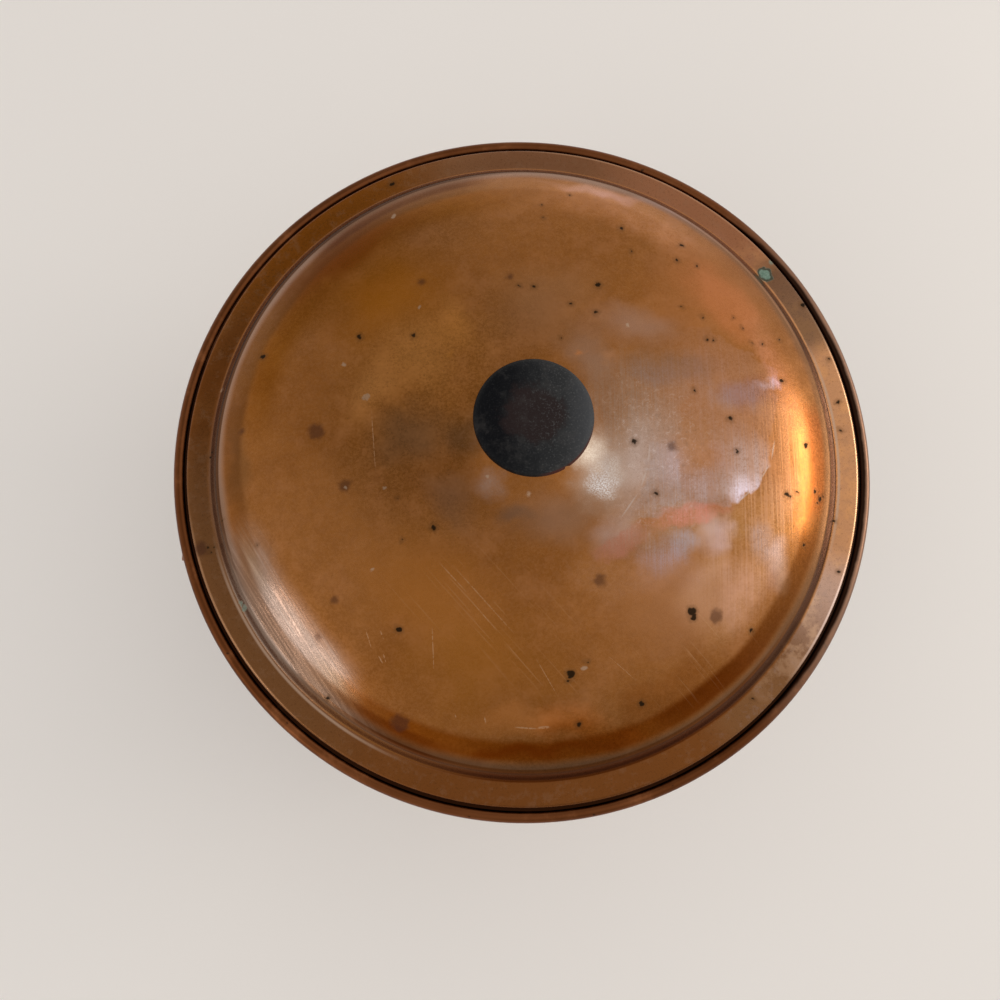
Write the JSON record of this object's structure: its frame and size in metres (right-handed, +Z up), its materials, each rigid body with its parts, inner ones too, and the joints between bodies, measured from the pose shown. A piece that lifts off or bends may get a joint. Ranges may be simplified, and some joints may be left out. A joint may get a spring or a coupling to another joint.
{
  "type": "chafing dish",
  "caption": "Round copper chafing dish: domed lift-off lid with black knob, rolled-rim food pan, water pan with drop handles, footed stand and spirit lamp.",
  "frame": {"origin": "centre of the footprint, on the surface that the three feet stand on", "axes": "+Z up along the axis of the lid and the pans; -Y towards the front leg; the drop handles lie at +X and -X"},
  "size_m": [0.3168, 0.3132, 0.2577],
  "materials": {
    "aged_copper": "aged copper, brown-orange patina, satin with bright worn shoulders",
    "pan_copper": "spun copper, brown patina outside, dull tin lining inside the food pan",
    "stand_copper": "satin copper bar and wire, darker in the corners",
    "ebonised_wood": "black stained turned wood, worn dull and slightly brown",
    "lamp_brass": "aged brass, satin",
    "steel": "plain steel, slightly dull",
    "cotton": "off-white cotton",
    "cork": "pressed cork"
  },
  "bodies": {
    "stand": {"stand_hoop": "stand_copper", "front_leg": "stand_copper", "rear_right_leg": "stand_copper", "rear_left_leg": "stand_copper", "front_foot": "ebonised_wood", "rear_right_foot": "ebonised_wood", "rear_left_foot": "ebonised_wood", "front_arm": "stand_copper", "rear_right_arm": "stand_copper", "rear_left_arm": "stand_copper", "lamp_ring": "stand_copper"},
    "water_pan": {"water_pan": "pan_copper", "left_handle_strap": "stand_copper", "right_handle_strap": "stand_copper"},
    "right_handle": {"right_bail": "stand_copper", "right_grip": "ebonised_wood"},
    "left_handle": {"left_bail": "stand_copper", "left_grip": "ebonised_wood"},
    "food_pan": {"food_pan": "pan_copper"},
    "lid": {"lid_cover": "aged_copper", "lid_knob": "ebonised_wood", "knob_ferrule": "aged_copper", "knob_washer": "lamp_brass", "knob_screw": "steel"},
    "lamp": {"lamp_reservoir": "lamp_brass", "fuel_packing": "cotton", "lamp_top": "lamp_brass", "filler_neck": "lamp_brass", "burner_tube": "lamp_brass", "wick": "cotton", "wick_gauze": "lamp_brass", "snuffer_bracket": "lamp_brass", "snuffer_pin": "steel"},
    "regulator": {"regulator_sleeve": "lamp_brass", "regulator_lever": "lamp_brass", "regulator_grip": "ebonised_wood"},
    "snuffer": {"snuffer_cap": "lamp_brass", "snuffer_knob": "lamp_brass"},
    "filler_cap": {"filler_cap": "lamp_brass", "filler_gasket": "cork"}
  },
  "joints": [
    {"name": "water_pan_lift", "type": "slide", "parent": "stand", "child": "water_pan", "axis": [0, 0, 1], "range_m": [0, 0.06]},
    {"name": "food_pan_lift", "type": "slide", "parent": "water_pan", "child": "food_pan", "axis": [0, 0, 1], "range_m": [0, 0.07]},
    {"name": "lid_lift", "type": "slide", "parent": "food_pan", "child": "lid", "axis": [0, 0, 1], "range_m": [0, 0.06]},
    {"name": "right_handle_swing", "type": "hinge", "parent": "water_pan", "child": "right_handle", "pos_m": [0.152, 0, 0.1753], "axis": [0, -1, 0], "range_deg": [-7, 150]},
    {"name": "left_handle_swing", "type": "hinge", "parent": "water_pan", "child": "left_handle", "pos_m": [-0.152, 0, 0.1753], "axis": [0, 1, 0], "range_deg": [-7, 150]},
    {"name": "lamp_lift", "type": "slide", "parent": "stand", "child": "lamp", "axis": [0, 0, 1], "range_m": [0, 0.027]},
    {"name": "regulator_turn", "type": "hinge", "parent": "lamp", "child": "regulator", "pos_m": [0, 0, 0.0578], "axis": [0, 0, 1], "range_deg": [0, 30]},
    {"name": "snuffer_swing", "type": "hinge", "parent": "lamp", "child": "snuffer", "pos_m": [0, 0.0245, 0.0665], "axis": [-1, 0, 0], "range_deg": [0, 165]},
    {"name": "filler_cap_lift", "type": "slide", "parent": "lamp", "child": "filler_cap", "axis": [0, 0, 1], "range_m": [0, 0.012]}
  ]
}
